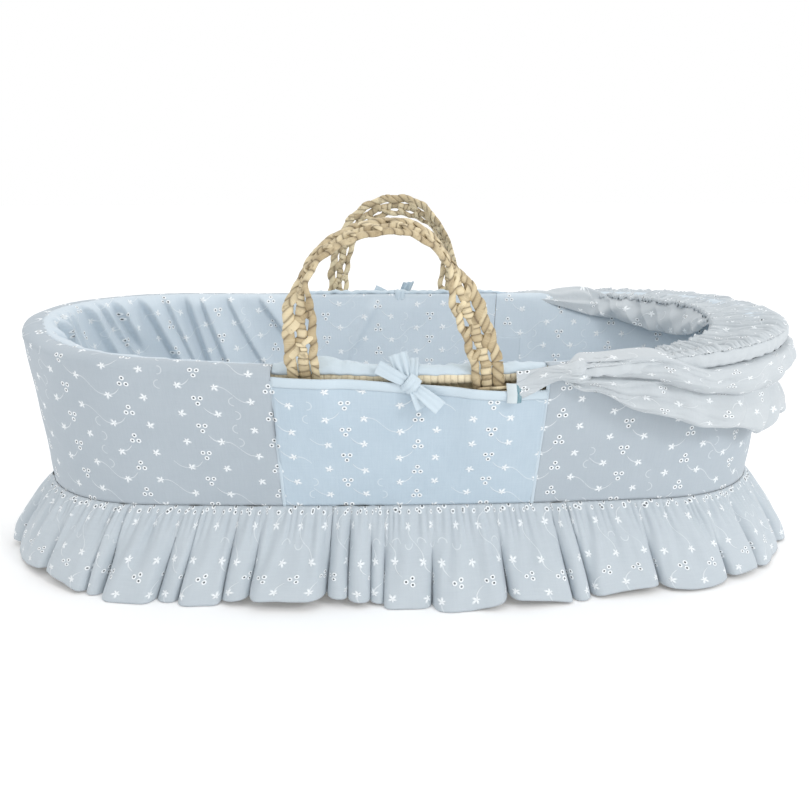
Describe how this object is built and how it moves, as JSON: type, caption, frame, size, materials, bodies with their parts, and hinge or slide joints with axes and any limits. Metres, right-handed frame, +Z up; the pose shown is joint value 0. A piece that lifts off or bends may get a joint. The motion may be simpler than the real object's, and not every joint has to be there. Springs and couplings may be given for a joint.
{
  "type": "moses basket",
  "caption": "Oval woven baby basket with strap handles, white eyelet cotton skirt and gathered frill, lining, mattress and a fold-down hood.",
  "frame": {"origin": "on the floor, under the middle of the basket", "axes": "+X to the head end with the hood, +Y to the back long side, +Z up"},
  "size_m": [0.93, 0.4738, 0.4026],
  "materials": {
    "palm_leaf": "dry plaited palm leaf, matt",
    "leaf_wrap": "dry leaf wrapping, matt",
    "cane": "bare cane",
    "plain_cotton": "plain white cotton",
    "eyelet_cotton": "white cotton with eyelet embroidery",
    "lining_cotton": "plain white cotton",
    "mattress_cotton": "white cotton cover",
    "label_satin": "blank white satin",
    "tab_cotton": "plain teal tape",
    "elastic": "white elastic",
    "foam": "polyether foam"
  },
  "bodies": {
    "basket": {"base_mat": "palm_leaf", "care_label": "label_satin", "foot_lashings_back": "leaf_wrap", "foot_lashings_front": "leaf_wrap", "frill": "eyelet_cotton", "handle_back_foot_left": "leaf_wrap", "handle_back_foot_right": "leaf_wrap", "handle_front_foot_left": "leaf_wrap", "handle_front_foot_right": "leaf_wrap", "hood_crown": "eyelet_cotton", "hood_tie_back": "plain_cotton", "hood_tie_front": "plain_cotton", "lining_back": "lining_cotton", "lining_binding_back": "plain_cotton", "lining_binding_front": "plain_cotton", "lining_floor": "lining_cotton", "lining_foot_end": "lining_cotton", "lining_front": "lining_cotton", "lining_head_end": "lining_cotton", "rim_cane": "cane", "rim_wrap": "leaf_wrap", "skirt_back": "eyelet_cotton", "skirt_binding_back": "plain_cotton", "skirt_binding_front": "plain_cotton", "skirt_foot_end": "eyelet_cotton", "skirt_front": "eyelet_cotton", "skirt_head_end": "eyelet_cotton", "tab_label": "tab_cotton", "tie_back_knot": "plain_cotton", "tie_back_ribbon": "plain_cotton", "tie_front_knot": "plain_cotton", "tie_front_ribbon": "plain_cotton", "wall_band_1": "palm_leaf", "wall_band_2": "palm_leaf", "wall_band_3": "palm_leaf", "wall_band_4": "palm_leaf", "wall_band_5": "palm_leaf", "wall_band_6": "palm_leaf", "wall_band_7": "palm_leaf", "wall_band_8": "palm_leaf"},
    "hood": {"hood_band": "eyelet_cotton", "hood_channel": "eyelet_cotton", "hood_edge_elastic": "elastic", "hood_hoop": "cane"},
    "handle_front": {"handle_front_cord_1": "leaf_wrap", "handle_front_cord_2": "leaf_wrap", "handle_front_cord_3": "leaf_wrap", "handle_front_weft": "leaf_wrap"},
    "handle_back": {"handle_back_cord_1": "leaf_wrap", "handle_back_cord_2": "leaf_wrap", "handle_back_cord_3": "leaf_wrap", "handle_back_weft": "leaf_wrap"},
    "mattress": {"mattress_cover_base": "mattress_cotton", "mattress_cover_top": "mattress_cotton", "mattress_foam": "foam"}
  },
  "joints": [
    {"name": "hood_raise", "type": "hinge", "parent": "basket", "child": "hood", "pos_m": [0.16, 0, 0.25], "axis": [0, -1, 0], "range_deg": [0, 90]},
    {"name": "handle_front_fold", "type": "hinge", "parent": "basket", "child": "handle_front", "pos_m": [0, -0.221, 0.266], "axis": [1, 0, 0], "range_deg": [-60, 100]},
    {"name": "handle_back_fold", "type": "hinge", "parent": "basket", "child": "handle_back", "pos_m": [0, 0.221, 0.266], "axis": [-1, 0, 0], "range_deg": [-60, 100]},
    {"name": "mattress_lift", "type": "slide", "parent": "basket", "child": "mattress", "axis": [-0.0995, 0, 0.995], "range_m": [0, 0.56]}
  ]
}
